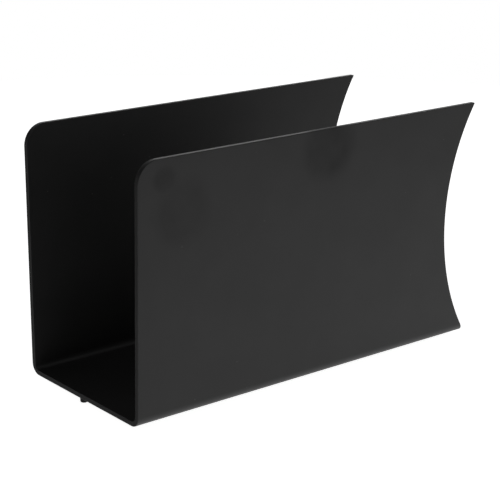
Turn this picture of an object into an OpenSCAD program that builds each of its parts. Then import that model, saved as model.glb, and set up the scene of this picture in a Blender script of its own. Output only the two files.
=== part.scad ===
// Napkin holder: one sheet bent into an open channel, standing on three small rubber feet.
// X runs along the walls from the near end to the far end, Y across them, Z is up.
// The origin is under the middle of the holder, on the surface that it stands on.

/* [Channel] */
// Length of the floor, from the near end to the far end
holder_l = 170.2; // [150:0.1:200]
// Outer width across the two bends
base_w = 72; // [64:0.5:110]
// Height of the walls above the underside of the floor
wall_h = 100; // [80:1:120]
// Thickness of the coated sheet
sheet_t = 2; // [1.2:0.1:3]
// Outer radius of the two bends
bend_r = 4.5; // [3.5:0.1:8]
// Outward lean of each wall, in degrees
wall_lean = 0.75; // [0:0.05:3]
// Radius of the rounded top corners at the near end
corner_r = 8.5; // [2:0.1:20]

/* [Grip cut-out] */
// Radius of the concave cut in the far end of both walls
cut_r = 92.2; // [85:0.1:140]
// Height of the deepest point of the cut above the underside of the floor
cut_z = 51.5; // [40:0.5:60]
// Height at which the cut runs out into the straight end of the floor
cut_end_z = 0.5; // [0.2:0.1:1]

/* [Feet] */
// Diameter of a rubber foot
foot_d = 3.1; // [2.5:0.1:5]
// Height of a rubber foot without its adhesive
foot_h = 1.8; // [1.2:0.1:3]
// Radius of the rounded lower edge of a rubber foot
foot_edge_r = 0.4; // [0.1:0.05:0.6]
// Diameter of the adhesive disc above a foot
adhesive_d = 2.8; // [2:0.1:5]
// Thickness of the adhesive disc above a foot
adhesive_t = 0.2; // [0.1:0.05:0.4]
// Distance of the near foot's middle from the near end
near_foot_inset = 2; // [1.5:0.1:12]
// Distance of the near foot's middle from the holder's centre line
near_foot_offset = 2.4; // [-10:0.1:10]
// Distance of the far feet's middles from the far end
far_foot_inset = 8; // [4:0.5:20]
// Distance of the far feet's middles from the holder's centre line
far_foot_offset = 25; // [5:0.5:28]

/* [Hidden] */
$fn = 96;

lift = foot_h + adhesive_t;
flat_half = base_w / 2 - bend_r;
wall_len = (wall_h - bend_r + (bend_r - sheet_t) * sin(wall_lean)) / cos(wall_lean);
cut_x = holder_l + sqrt(pow(cut_r, 2) - pow(cut_z - cut_end_z, 2));
// How far outside the floor's flat width the grip cut starts
floor_gap = 0.2;
// Flat steps that each bend is made of
bend_steps = 12;
near_foot_at = [near_foot_inset, near_foot_offset];
far_front_foot_at = [holder_l - far_foot_inset, -far_foot_offset];
far_back_foot_at = [holder_l - far_foot_inset, far_foot_offset];

// Moves from the near end of the floor's underside to the part's own origin
module placed() {
    translate([-holder_l / 2, 0, lift])
        children();
}

// Points of one face of the sheet, from the floor's edge through the back bend to the wall's top.
// r is that face's radius in the bend: bend_r outside, bend_r - sheet_t inside.
function half_face(r) = concat(
    [
        for (i = [0:bend_steps])
            let (turn = (90 - wall_lean) * i / bend_steps)
            [flat_half + r * sin(turn), bend_r - r * cos(turn)]
    ],
    [[
        flat_half + r * cos(wall_lean) + wall_len * sin(wall_lean),
        bend_r - r * sin(wall_lean) + wall_len * cos(wall_lean)
    ]]
);

function backwards(points) = [for (i = [len(points) - 1:-1:0]) points[i]];

// The whole face, from the front wall's top to the back wall's top
function face(r) = concat(
    backwards([for (p = half_face(r)) [-p[0], p[1]]]),
    half_face(r)
);

// The sheet's cross-section, extruded along the holder
module channel() {
    rotate([90, 0, 90])
        linear_extrude(holder_l)
            polygon(concat(face(bend_r), backwards(face(bend_r - sheet_t))));
}

// What rounds the walls' top corners at the near end
module corner_cut() {
    translate([0, base_w, wall_h - corner_r])
        rotate([90, 0, 0])
            linear_extrude(2 * base_w)
                difference() {
                    translate([-corner_r, 0])
                        square(2 * corner_r);
                    translate([corner_r, 0])
                        circle(r = corner_r);
                }
}

// The round bite out of one wall's far end; side is 1 for the back wall, -1 for the front wall
module grip_cut(side) {
    translate([cut_x, side * (flat_half + floor_gap + base_w / 2), cut_z])
        rotate([90, 0, 0])
            cylinder(r = cut_r, h = base_w, center = true);
}

// The bent sheet: floor and two tall walls in one piece
module holder_shell() {
    color("#2b2b2b")
        placed()
            difference() {
                channel();
                corner_cut();
                grip_cut(1);
                grip_cut(-1);
            }
}

// A round rubber foot, its lower edge rounded
module foot(at) {
    color("#161616")
        placed()
            translate([at[0], at[1], -lift])
                rotate_extrude() {
                    translate([0, foot_edge_r])
                        square([foot_d / 2, foot_h - foot_edge_r]);
                    square([foot_d / 2 - foot_edge_r, foot_edge_r]);
                    translate([foot_d / 2 - foot_edge_r, foot_edge_r])
                        intersection() {
                            circle(r = foot_edge_r);
                            translate([0, -foot_edge_r])
                                square(foot_edge_r);
                        }
                }
}

// The adhesive disc between a foot and the floor
module adhesive(at) {
    color("#8c8c86")
        placed()
            translate([at[0], at[1], -adhesive_t])
                cylinder(d = adhesive_d, h = adhesive_t);
}

module near_foot() {
    foot(near_foot_at);
}

module near_foot_adhesive() {
    adhesive(near_foot_at);
}

module far_front_foot() {
    foot(far_front_foot_at);
}

module far_front_foot_adhesive() {
    adhesive(far_front_foot_at);
}

module far_back_foot() {
    foot(far_back_foot_at);
}

module far_back_foot_adhesive() {
    adhesive(far_back_foot_at);
}

holder_shell();
near_foot();
near_foot_adhesive();
far_front_foot();
far_front_foot_adhesive();
far_back_foot();
far_back_foot_adhesive();
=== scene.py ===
"""Napkin holder: a powder-coated sheet bent into an open channel, on three rubber feet.

Lengths are in metres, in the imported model's frame: X runs along the walls from the near end to
the far end, Y across them and Z up, and the holder stands on z = 0.
"""

import math

import bmesh
import bpy
from mathutils import Matrix, Vector


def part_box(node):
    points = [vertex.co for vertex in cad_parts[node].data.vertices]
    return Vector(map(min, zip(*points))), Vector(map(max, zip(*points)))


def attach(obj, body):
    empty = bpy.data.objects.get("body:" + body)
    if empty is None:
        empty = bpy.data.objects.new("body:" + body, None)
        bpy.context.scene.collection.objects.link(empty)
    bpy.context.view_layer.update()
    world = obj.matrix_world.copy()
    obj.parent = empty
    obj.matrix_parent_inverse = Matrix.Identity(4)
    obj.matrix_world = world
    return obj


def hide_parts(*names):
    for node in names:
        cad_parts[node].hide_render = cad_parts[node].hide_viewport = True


MM = 0.001

# The bent sheet. Its length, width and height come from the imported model.
SHEET_T = 2.0 * MM
BEND_R = 4.5 * MM  # outer radius
WALL_LEAN = math.radians(0.75)
CORNER_R = 8.5 * MM
CUT_R = 92.2 * MM
CUT_RISE = 51.5 * MM  # the cut's deepest point above the underside of the floor
CUT_END_RISE = 0.5 * MM  # where the cut runs out into the floor's straight end
EDGE_R = 0.25 * MM  # rounding of the coated edges
TIP_R = 0.32 * MM  # rounding of the wall's far top tip, seen from the side

# Mesh density
EDGE_STEPS = 5
TIP_STEPS = 8
BEND_STEPS = 20
CORNER_STEPS = 22
ROW_GAP = 2.0 * MM

# The feet
FOOT_EDGE_R = 0.4 * MM
FOOT_DRAFT = 0.08 * MM
FOOT_LIP_R = 0.12 * MM  # rounding of the upper edge
FOOT_DIMPLE_R = 0.7 * MM
FOOT_DIMPLE_DEPTH = 0.15 * MM
ROUND_STEPS = 48

# The black powder coat
COAT_DARK = 0.0110
COAT_LIGHT = 0.0145
COAT_WORN_AND_HIGHLIGHT = 0.045  # lighter at the arrises: partly worn coat, partly a painted highlight
COAT_ROUGH = 0.475
COAT_SHINE = 0.275
COAT_SPREAD = 0.025  # how far the roughness wanders
COAT_CLOUD = 34 * MM
COAT_PATCH = 12 * MM
COAT_RIPPLE = 2.6 * MM
COAT_RIPPLE_DEPTH = 0.03 * MM
COAT_GRAIN = 1.6 * MM
COAT_PEBBLE = 0.42 * MM
COAT_PEBBLE_DEPTH = 0.02 * MM
END_ROUGHER = 0.46  # how much duller the cut ends are
SMUDGE_ROUGHER = 0.21
SMUDGES = (  # (x, z, radius, strength) on the front wall
    (-73.5 * MM, 94 * MM, 6 * MM, 0.9),
    (-66 * MM, 81.5 * MM, 15 * MM, 0.6),
    (4 * MM, 95 * MM, 15 * MM, 1.0),
)
SMUDGE_Y = -37 * MM
SMUDGE_REACH_Y = -35.7 * MM  # within the sheet, so the marks stay off its inner face
SMUDGE_FADE = 0.3 * MM
DUST_GREY = 0.15
DUST_GAP = 7 * MM
DUST_R = 0.24 * MM

# The rubber and the adhesive
RUBBER_DARK = 0.004
RUBBER_LIGHT = 0.008
RUBBER_SHINE = 0.12
ADHESIVE_DARK = (0.26, 0.26, 0.24, 1.0)
ADHESIVE_LIGHT = (0.34, 0.34, 0.32, 1.0)

# The stage
LIGHT_AIM = Vector((0.0, 0.0, 0.05))
FLOOR_R = 0.6
FLOOR_DROP = 0.2 * MM
FLOOR_GREY = 0.82
FLOOR_GLOW = 0.95
WORLD_LIT = 0.06  # what the world gives the object
WORLD_SEEN = 1.0  # what the camera sees of it

# The camera
LENS = 114.40
SENSOR = 36.0
CAMERA_TURN = math.radians(39.473)  # from the front, towards the near end
CAMERA_RISE = math.radians(17.230)
CAMERA_ROLL = math.radians(0.650)
CAMERA_DISTANCE = 638.503 * MM
AIM_X = 81.092 * MM  # from the near end
AIM_RISE = 44.250 * MM  # above the underside of the floor


def shell_sizes():
    """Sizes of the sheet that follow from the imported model's box."""
    low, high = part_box("holder_shell")
    size = {"x0": low.x, "length": high.x - low.x, "z0": low.z, "height": high.z - low.z}
    middle_r = BEND_R - SHEET_T / 2
    turn = math.pi / 2 - WALL_LEAN
    top_half = high.y
    wall_len = (size["height"] - BEND_R + (BEND_R - SHEET_T) * math.sin(WALL_LEAN)) / math.cos(
        WALL_LEAN
    )
    size["flat"] = top_half - BEND_R * math.cos(WALL_LEAN) - wall_len * math.sin(WALL_LEAN)
    size["middle_r"] = middle_r
    size["turn"] = turn
    size["bend_end"] = size["flat"] + middle_r * turn
    size["top"] = size["bend_end"] + wall_len
    size["cut_x"] = size["length"] + math.sqrt(CUT_R**2 - (CUT_RISE - CUT_END_RISE) ** 2)
    return size


def fold(size, s, x, h):
    """A point of the flat sheet, folded: s is the distance along its middle layer from the floor's
    centre line, x the distance from the near end, and h the height above the middle layer, outwards.
    Returns the point, the outward normal and the direction of growing s."""
    side = -1.0 if s < 0 else 1.0
    a = abs(s)
    turn = min(max((a - size["flat"]) / size["middle_r"], 0.0), size["turn"])
    along = a if turn == 0.0 else size["flat"]
    rise = max(a - size["bend_end"], 0.0)
    r = size["middle_r"] + h
    y = along + r * math.sin(turn) + rise * math.cos(turn)
    z = BEND_R - r * math.cos(turn) + rise * math.sin(turn)
    point = Vector((size["x0"] + x, side * y, size["z0"] + z))
    normal = Vector((0.0, side * math.sin(turn), -math.cos(turn)))
    across = Vector((0.0, math.cos(turn), side * math.sin(turn)))
    return point, normal, across


def cut_x_at(size, s):
    """Where the far end lies on the flat sheet at s."""
    a = abs(s)
    if a <= size["flat"]:
        return size["length"]
    turn = min((a - size["flat"]) / size["middle_r"], size["turn"])
    rise = max(a - size["bend_end"], 0.0)
    z = BEND_R * (1 - math.cos(turn)) + rise * math.cos(WALL_LEAN)
    z = max(z, CUT_END_RISE)
    return size["cut_x"] - math.sqrt(CUT_R**2 - (CUT_RISE - z) ** 2)


def near_side(size):
    """Stations of the near end from the floor's middle to the back wall's top, as (s, x, n_s, n_x)."""
    rows = []
    for s in floor_stations(size) + bend_stations(size):
        rows.append((s, 0.0, 0.0, -1.0))
    start, end = size["bend_end"], size["top"] - CORNER_R
    steps = max(2, round((end - start) / ROW_GAP))
    for i in range(1, steps + 1):
        rows.append((start + (end - start) * i / steps, 0.0, 0.0, -1.0))
    for i in range(1, CORNER_STEPS + 1):
        a = math.pi / 2 * i / CORNER_STEPS
        n_s, n_x = math.sin(a), -math.cos(a)
        rows.append((end + CORNER_R * n_s, CORNER_R * (1 + n_x), n_s, n_x))
    return rows


def floor_stations(size):
    """Stations across half the floor, without its middle's mirror image."""
    steps = max(2, round(size["flat"] / ROW_GAP))
    return [size["flat"] * i / steps for i in range(steps + 1)]


def bend_stations(size):
    """Stations through one bend, after the floor's edge."""
    return [
        size["flat"] + (size["bend_end"] - size["flat"]) * i / BEND_STEPS
        for i in range(1, BEND_STEPS + 1)
    ]


def tip(size):
    """The rounded tip between the top edge and the cut: centre and the turn of its normal."""
    cut_s = size["bend_end"] + (CUT_RISE - BEND_R * (1 - math.sin(WALL_LEAN))) / math.cos(WALL_LEAN)
    s = size["top"] - TIP_R
    x = size["cut_x"] - math.sqrt((CUT_R + TIP_R) ** 2 - (s - cut_s) ** 2)
    turn = math.atan2(size["cut_x"] - x, cut_s - s)
    return s, x, turn


def far_side(size, count):
    """Stations of the far end from the floor's middle to the back wall's top; count matches the
    near end's."""
    rows = []
    for s in floor_stations(size) + bend_stations(size):
        rows.append([s, cut_x_at(size, s)])
    tip_s, tip_x, tip_turn = tip(size)
    start, end = size["bend_end"], tip_s + TIP_R * math.cos(tip_turn)
    steps = count - len(rows) - TIP_STEPS
    for i in range(1, steps + 1):
        s = start + (end - start) * i / steps
        rows.append([s, cut_x_at(size, s)])
    done = []
    for i, (s, x) in enumerate(rows):
        before, after = rows[max(i - 1, 0)], rows[min(i + 1, len(rows) - 1)]
        d = Vector((after[0] - before[0], after[1] - before[1])).normalized()
        done.append((s, x, -d.y, d.x))
    done[0] = (rows[0][0], rows[0][1], 0.0, 1.0)
    done[-1] = (rows[-1][0], rows[-1][1], math.cos(tip_turn), math.sin(tip_turn))
    for i in range(1, TIP_STEPS + 1):
        a = tip_turn * (1 - i / TIP_STEPS)
        n_s, n_x = math.cos(a), math.sin(a)
        done.append((tip_s + TIP_R * n_s, tip_x + TIP_R * n_x, n_s, n_x))
    return done


def mirrored(rows):
    """The stations from the front wall's top to the back wall's top."""
    front = [(-s, x, -ns, nx) for s, x, ns, nx in rows[:0:-1]]
    return front + rows


def rim_profile():
    """The rounded edge of the sheet, outer face to inner face: inset, height, and the normal's turn."""
    half = SHEET_T / 2
    steps = [math.pi / 2 * i / EDGE_STEPS for i in range(EDGE_STEPS + 1)]
    outer = [(EDGE_R * (1 - math.sin(a)), half - EDGE_R * (1 - math.cos(a)), a) for a in steps]
    inner = [(inset, -h, math.pi - a) for inset, h, a in reversed(outer)]
    middle = [(0.0, (half - EDGE_R) * k, math.pi / 2) for k in (0.33, -0.33)]
    return outer + middle + inner


def build_sheet(size):
    """The sheet's mesh: two faces as grids of quads, joined all round by the rounded edge."""
    near = mirrored(near_side(size))
    far = mirrored(far_side(size, len(near_side(size))))
    rows = len(near)
    columns = max(8, round(size["length"] / ROW_GAP))

    def rim_at(i, j):
        """The edge point and its normal on the flat sheet, at column i and row j of the grid."""
        if i == 0:
            return near[j]
        if i == columns:
            return far[j]
        end = 0 if j == 0 else -1
        a, b = near[end], far[end]
        k = i / columns
        return (a[0], a[1] + (b[1] - a[1]) * k, -1.0 if j == 0 else 1.0, 0.0)

    loop = [(0, j) for j in range(rows)]
    loop += [(i, rows - 1) for i in range(1, columns + 1)]
    loop += [(columns, j) for j in range(rows - 2, -1, -1)]
    loop += [(i, 0) for i in range(columns - 1, 0, -1)]

    bm = bmesh.new()
    arris_mark = bm.verts.layers.float.new("arris")
    end_mark = bm.verts.layers.float.new("end_face")
    normals = []

    def add(s, x, h, n_s, n_x, turn):
        """A point of the mesh; turn is how far its normal has turned from the outer face to the rim."""
        point, out, across = fold(size, s, x, h)
        v = bm.verts.new(point)
        v[arris_mark] = abs(math.sin(2 * turn))
        v[end_mark] = abs(math.sin(turn) * n_x)
        rim = across * n_s + Vector((n_x, 0.0, 0.0))
        normals.append((out * math.cos(turn) + rim * math.sin(turn)).normalized())
        return v

    profile = rim_profile()
    rings = []
    for inset, h, turn in profile:
        ring = []
        for i, j in loop:
            s, x, n_s, n_x = rim_at(i, j)
            ring.append(add(s - inset * n_s, x - inset * n_x, h, n_s, n_x, turn))
        rings.append(ring)
    for a, b in zip(rings, rings[1:]):
        for k in range(len(loop)):
            m = (k + 1) % len(loop)
            bm.faces.new((a[k], a[m], b[m], b[k]))

    at = {place: k for k, place in enumerate(loop)}
    for ring, h, turn in ((rings[0], SHEET_T / 2, 0.0), (rings[-1], -SHEET_T / 2, math.pi)):
        grid = [[None] * rows for _ in range(columns + 1)]
        for j in range(rows):
            s0, x0, ns0, nx0 = near[j]
            s1, x1, ns1, nx1 = far[j]
            a = (s0 - EDGE_R * ns0, x0 - EDGE_R * nx0)
            b = (s1 - EDGE_R * ns1, x1 - EDGE_R * nx1)
            for i in range(columns + 1):
                if (i, j) in at:
                    grid[i][j] = ring[at[(i, j)]]
                    continue
                k = i / columns
                grid[i][j] = add(a[0] + (b[0] - a[0]) * k, a[1] + (b[1] - a[1]) * k, h, 0.0, 0.0, turn)
        for i in range(columns):
            for j in range(rows - 1):
                bm.faces.new((grid[i][j], grid[i + 1][j], grid[i + 1][j + 1], grid[i][j + 1]))
    bmesh.ops.recalc_face_normals(bm, faces=bm.faces)
    return finish_mesh(bm, "holder_sheet", normals)


def finish_mesh(bm, name, normals=None):
    """Turns a bmesh into a smooth-shaded object; normals gives each point's exact normal."""
    mesh = bpy.data.meshes.new(name)
    bm.to_mesh(mesh)
    bm.free()
    mesh.shade_smooth()
    if normals:
        mesh.normals_split_custom_set_from_vertices(normals)
    piece = bpy.data.objects.new(name, mesh)
    bpy.context.scene.collection.objects.link(piece)
    return piece


def revolve(name, outline, centre):
    """A turned piece: outline runs from the axis below to the axis above, as (radius, height)."""
    bm = bmesh.new()
    rings = []
    for r, z in outline:
        if r == 0.0:
            rings.append([bm.verts.new((centre.x, centre.y, centre.z + z))])
            continue
        turns = [2 * math.pi * i / ROUND_STEPS for i in range(ROUND_STEPS)]
        rings.append(
            [
                bm.verts.new((centre.x + r * math.cos(a), centre.y + r * math.sin(a), centre.z + z))
                for a in turns
            ]
        )
    for a, b in zip(rings, rings[1:]):
        for k in range(ROUND_STEPS):
            m = (k + 1) % ROUND_STEPS
            corners = [a[k % len(a)], a[m % len(a)], b[m % len(b)], b[k % len(b)]]
            bm.faces.new(list(dict.fromkeys(corners)))
    bmesh.ops.recalc_face_normals(bm, faces=bm.faces)
    return finish_mesh(bm, name)


def arc(centre, r, start, end, steps):
    """Points of an arc from start to end, in degrees."""
    turns = [math.radians(start + (end - start) * i / steps) for i in range(steps + 1)]
    return [(centre[0] + r * math.cos(a), centre[1] + r * math.sin(a)) for a in turns]


def build_foot(node):
    """A moulded rubber foot: slightly tapered, its lower edge rounded, a shallow dimple below."""
    low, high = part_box(node)
    r = (high.x - low.x) / 2
    height = high.z - low.z
    centre = Vector(((low.x + high.x) / 2, (low.y + high.y) / 2, low.z))
    lower_r = r - FOOT_DRAFT
    outline = [(0.0, FOOT_DIMPLE_DEPTH)]
    outline += [
        (FOOT_DIMPLE_R * k, FOOT_DIMPLE_DEPTH * (1 + math.cos(math.pi * k)) / 2)
        for k in (0.2, 0.4, 0.6, 0.8, 1.0)
    ]
    outline += arc((lower_r - FOOT_EDGE_R, FOOT_EDGE_R), FOOT_EDGE_R, -90, 0, 8)
    side = height - FOOT_EDGE_R - FOOT_LIP_R
    outline += [(lower_r + FOOT_DRAFT * k, FOOT_EDGE_R + side * k) for k in (0.5, 1.0)]
    outline += arc((r - FOOT_LIP_R, height - FOOT_LIP_R), FOOT_LIP_R, 15, 90, 5)
    outline += [(0.5 * r, height), (0.0, height)]
    return revolve(node + "_rubber", outline, centre)


def build_adhesive(node):
    """The thin adhesive disc between a foot and the floor, squeezed out slightly at its middle."""
    low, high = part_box(node)
    r = (high.x - low.x) / 2
    t = high.z - low.z
    centre = Vector(((low.x + high.x) / 2, (low.y + high.y) / 2, low.z))
    outline = [(0.0, 0.0), (0.6 * r, 0.0)]
    outline += arc((r - t / 2, t / 2), t / 2, -90, 90, 8)
    outline += [(0.6 * r, t), (0.0, t)]
    return revolve(node + "_pad", outline, centre)


class Nodes:
    """Short forms for building a material's node tree."""

    def __init__(self, name):
        self.material = bpy.data.materials.new(name)
        self.material.use_nodes = True
        self.tree = self.material.node_tree
        self.shader = self.tree.nodes["Principled BSDF"]
        self.place = self.add("ShaderNodeTexCoord").outputs["Object"]

    def add(self, kind, **inputs):
        node = self.tree.nodes.new(kind)
        for key, value in inputs.items():
            self.put(value, node.inputs[key.replace("_", " ")])
        return node

    def put(self, value, socket):
        if isinstance(value, bpy.types.NodeSocket):
            self.tree.links.new(value, socket)
        else:
            socket.default_value = value

    def noise(self, size, detail=2.0, roughness=0.5):
        """Noise whose blobs are about size across, as a value from 0 to 1."""
        node = self.add("ShaderNodeTexNoise", Vector=self.place, Scale=1.0 / size)
        node.inputs["Detail"].default_value = detail
        node.inputs["Roughness"].default_value = roughness
        return node.outputs["Fac"]

    def attribute(self, name):
        node = self.add("ShaderNodeAttribute")
        node.attribute_name = name
        return node.outputs["Fac"]

    def fit(self, value, low, high, to_low, to_high):
        node = self.add("ShaderNodeMapRange", Value=value)
        ends = {"From Min": low, "From Max": high, "To Min": to_low, "To Max": to_high}
        for key, number in ends.items():
            self.put(number, node.inputs[key])
        return node.outputs["Result"]

    def math(self, operation, a, b):
        node = self.add("ShaderNodeMath")
        node.operation = operation
        self.put(a, node.inputs[0])
        self.put(b, node.inputs[1])
        return node.outputs["Value"]

    def mix(self, factor, a, b):
        """A colour between a and b."""
        node = self.add("ShaderNodeMix")
        node.data_type = "RGBA"
        self.put(factor, node.inputs["Factor"])
        self.put(a, node.inputs[6])
        self.put(b, node.inputs[7])
        return node.outputs[2]

    def bump(self, height, distance, strength, normal=None):
        node = self.add("ShaderNodeBump", Height=height)
        node.inputs["Distance"].default_value = distance
        node.inputs["Strength"].default_value = strength
        if normal is not None:
            self.put(normal, node.inputs["Normal"])
        return node.outputs["Normal"]


def grey(value):
    return (value, value, value, 1.0)


def powder_coat():
    """Matt black powder coat: fine pebbled texture, handling marks, specks of dust, and arrises
    lightened partly by wear, partly by a painted highlight.
    """
    n = Nodes("black_powder_coat")
    grain = n.noise(COAT_GRAIN, 3.0, 0.6)
    # Arrises lighter in patches: partly worn coat, partly a painted highlight along the edges.
    wear_and_highlight = n.math("MULTIPLY", n.attribute("arris"), n.fit(grain, 0.4, 0.7, 0.1, 1.0))
    cloud = n.noise(COAT_CLOUD, 3.0, 0.55)
    smudge = n.math("MULTIPLY", smudges(n), n.fit(n.noise(7 * MM, 3.0, 0.6), 0.3, 0.7, 0.55, 1.0))
    tone = n.mix(n.fit(cloud, 0.3, 0.7, 0.0, 1.0), grey(COAT_DARK), grey(COAT_LIGHT))
    tone = n.mix(n.math("MULTIPLY", wear_and_highlight, 0.5), tone, grey(COAT_WORN_AND_HIGHLIGHT))
    tone = n.mix(dust(n), tone, grey(DUST_GREY))
    n.put(tone, n.shader.inputs["Base Color"])
    patch = n.noise(COAT_PATCH, 4.0, 0.6)
    rough = n.fit(patch, 0.3, 0.7, COAT_ROUGH - COAT_SPREAD, COAT_ROUGH + COAT_SPREAD)
    rough = n.math("ADD", rough, n.fit(n.attribute("end_face"), 0.9, 1.0, 0.0, END_ROUGHER))
    rough = n.math("ADD", rough, n.math("MULTIPLY", smudge, SMUDGE_ROUGHER))
    n.put(rough, n.shader.inputs["Roughness"])
    ripple = n.bump(n.noise(COAT_RIPPLE, 2.0, 0.5), COAT_RIPPLE_DEPTH, 0.35)
    pebble = n.bump(n.noise(COAT_PEBBLE, 2.0, 0.5), COAT_PEBBLE_DEPTH, 0.5, ripple)
    n.put(pebble, n.shader.inputs["Normal"])
    n.shader.inputs["Specular IOR Level"].default_value = COAT_SHINE
    return n.material


def smudges(n):
    """Where hands have dulled the front wall, as a value from 0 to 1."""
    total = None
    for x, z, r, strength in SMUDGES:
        away = n.add("ShaderNodeVectorMath", Vector=n.place)
        away.operation = "DISTANCE"
        away.inputs[1].default_value = (x, SMUDGE_Y, z)
        mark = n.fit(away.outputs["Value"], 0.6 * r, r, strength, 0.0)
        total = mark if total is None else n.math("MAXIMUM", total, mark)
    depth = n.add("ShaderNodeSeparateXYZ", Vector=n.place).outputs["Y"]
    outside = n.fit(depth, SMUDGE_REACH_Y - SMUDGE_FADE, SMUDGE_REACH_Y, 1.0, 0.0)
    return n.math("MULTIPLY", total, outside)


def dust(n):
    """Sparse specks of dust, as a value from 0 to 1."""
    cells = n.add("ShaderNodeTexVoronoi", Vector=n.place, Scale=1.0 / DUST_GAP)
    specks = n.fit(cells.outputs["Distance"], 0.5 * DUST_R / DUST_GAP, DUST_R / DUST_GAP, 0.7, 0.0)
    return n.math("MULTIPLY", specks, n.fit(n.noise(9 * MM, 2.0, 0.5), 0.42, 0.62, 0.0, 1.0))


def foot_rubber():
    """Satin black moulded rubber with a fine matt bloom."""
    n = Nodes("black_rubber")
    bloom = n.noise(0.9 * MM, 4.0, 0.6)
    tone = n.mix(n.fit(bloom, 0.3, 0.7, 0.0, 1.0), grey(RUBBER_DARK), grey(RUBBER_LIGHT))
    n.put(tone, n.shader.inputs["Base Color"])
    n.put(n.fit(bloom, 0.3, 0.7, 0.48, 0.66), n.shader.inputs["Roughness"])
    grain = n.noise(0.12 * MM, 2.0, 0.5)
    n.put(n.bump(grain, 0.01 * MM, 0.5), n.shader.inputs["Normal"])
    n.shader.inputs["Specular IOR Level"].default_value = RUBBER_SHINE
    return n.material


def foot_adhesive():
    """Grey acrylic adhesive, slightly uneven."""
    n = Nodes("grey_adhesive")
    grain = n.noise(0.3 * MM, 3.0, 0.6)
    tone = n.mix(n.fit(grain, 0.3, 0.7, 0.0, 1.0), ADHESIVE_DARK, ADHESIVE_LIGHT)
    n.put(tone, n.shader.inputs["Base Color"])
    n.put(n.fit(grain, 0.3, 0.7, 0.55, 0.75), n.shader.inputs["Roughness"])
    n.put(n.bump(grain, 0.02 * MM, 0.4), n.shader.inputs["Normal"])
    return n.material


def build_object(size):
    coat, rubber, glue = powder_coat(), foot_rubber(), foot_adhesive()
    pieces = [(build_sheet(size), "holder_shell", coat, "powder_coat")]
    for foot in ("near_foot", "far_front_foot", "far_back_foot"):
        pieces.append((build_foot(foot), foot, rubber, "foot_rubber"))
        pad = foot + "_adhesive"
        pieces.append((build_adhesive(pad), pad, glue, "foot_adhesive"))
    for piece, node, material, slot in pieces:
        piece.data.materials.append(material)
        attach(piece, "root")
        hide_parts(node)


def make_floor():
    """A plain pale floor that glows softly, as a lit white table does."""
    bm = bmesh.new()
    bmesh.ops.create_circle(bm, cap_ends=True, radius=FLOOR_R, segments=96)
    floor = finish_mesh(bm, "studio_floor")
    floor.location.z = -FLOOR_DROP
    material = bpy.data.materials.new("studio_floor")
    material.use_nodes = True
    shader = material.node_tree.nodes["Principled BSDF"]
    shader.inputs["Base Color"].default_value = grey(FLOOR_GREY)
    shader.inputs["Roughness"].default_value = 0.9
    shader.inputs["Specular IOR Level"].default_value = 0.0
    shader.inputs["Emission Color"].default_value = grey(1.0)
    shader.inputs["Emission Strength"].default_value = FLOOR_GLOW
    floor.data.materials.append(material)


def soft_box(name, width, height, power, place):
    """An area light that points at the holder's middle and that the camera doesn't see."""
    light = bpy.data.lights.new(name, "AREA")
    light.shape = "RECTANGLE"
    light.size, light.size_y = width, height
    light.energy = power
    lamp = bpy.data.objects.new(name, light)
    lamp.location = place
    lamp.rotation_mode = "QUATERNION"
    lamp.rotation_quaternion = (LIGHT_AIM - Vector(place)).to_track_quat("-Z", "Y")
    lamp.visible_camera = False
    bpy.context.scene.collection.objects.link(lamp)


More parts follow.
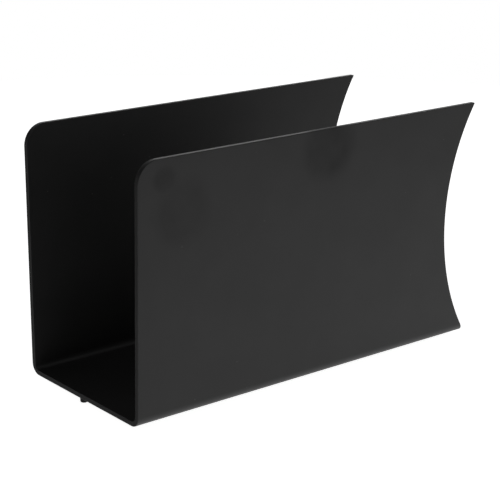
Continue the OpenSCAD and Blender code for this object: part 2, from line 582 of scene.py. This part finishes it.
def make_world():
    world = bpy.data.worlds.new("studio")
    world.use_nodes = True
    tree = world.node_tree
    tree.nodes.clear()
    lit = tree.nodes.new("ShaderNodeBackground")
    lit.inputs["Color"].default_value = grey(1.0)
    lit.inputs["Strength"].default_value = WORLD_LIT
    seen = tree.nodes.new("ShaderNodeBackground")
    seen.inputs["Color"].default_value = grey(1.0)
    seen.inputs["Strength"].default_value = WORLD_SEEN
    path = tree.nodes.new("ShaderNodeLightPath")
    mix = tree.nodes.new("ShaderNodeMixShader")
    out = tree.nodes.new("ShaderNodeOutputWorld")
    tree.links.new(path.outputs["Is Camera Ray"], mix.inputs["Fac"])
    tree.links.new(lit.outputs["Background"], mix.inputs[1])
    tree.links.new(seen.outputs["Background"], mix.inputs[2])
    tree.links.new(mix.outputs["Shader"], out.inputs["Surface"])
    bpy.context.scene.world = world


def make_lights():
    make_world()
    soft_box("key_box", width=1.4, height=1.2, power=0.4, place=(-1.0, -1.3, 1.2))
    soft_box("front_box", width=1.6, height=0.6, power=3.45, place=(1.5, -1.2, 0.35))
    soft_box("top_box", width=2.2, height=2.2, power=6.0, place=(0.1, 0.0, 1.8))
    soft_box("back_box", width=2.4, height=0.9, power=11.5, place=(1.1, 1.6, 0.5))


def make_camera(size):
    """The camera at the photo's viewing angle."""
    back = Vector(
        (
            -math.sin(CAMERA_TURN) * math.cos(CAMERA_RISE),
            -math.cos(CAMERA_TURN) * math.cos(CAMERA_RISE),
            math.sin(CAMERA_RISE),
        )
    )
    right = Vector((0.0, 0.0, 1.0)).cross(back).normalized()
    up = back.cross(right)
    turn = Matrix((right, up, back)).transposed()
    aim = Vector((size["x0"] + AIM_X, 0.0, size["z0"] + AIM_RISE))
    data = bpy.data.cameras.new("camera")
    data.sensor_width = SENSOR
    data.lens = LENS
    data.clip_start, data.clip_end = 0.05, 20.0
    camera = bpy.data.objects.new("camera", data)
    camera.matrix_world = Matrix.Translation(aim + back * CAMERA_DISTANCE) @ (
        turn @ Matrix.Rotation(CAMERA_ROLL, 3, "Z")
    ).to_4x4()
    bpy.context.scene.collection.objects.link(camera)
    bpy.context.scene.camera = camera


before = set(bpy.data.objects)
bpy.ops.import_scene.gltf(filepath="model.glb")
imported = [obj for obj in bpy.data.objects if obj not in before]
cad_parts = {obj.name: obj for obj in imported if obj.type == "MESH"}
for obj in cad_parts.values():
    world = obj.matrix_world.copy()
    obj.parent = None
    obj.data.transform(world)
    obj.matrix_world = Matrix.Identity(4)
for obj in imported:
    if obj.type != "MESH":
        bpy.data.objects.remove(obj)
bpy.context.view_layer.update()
bpy.context.scene.view_settings.view_transform = "Standard"
shell = shell_sizes()
make_camera(shell)
build_object(shell)
make_floor()
make_lights()
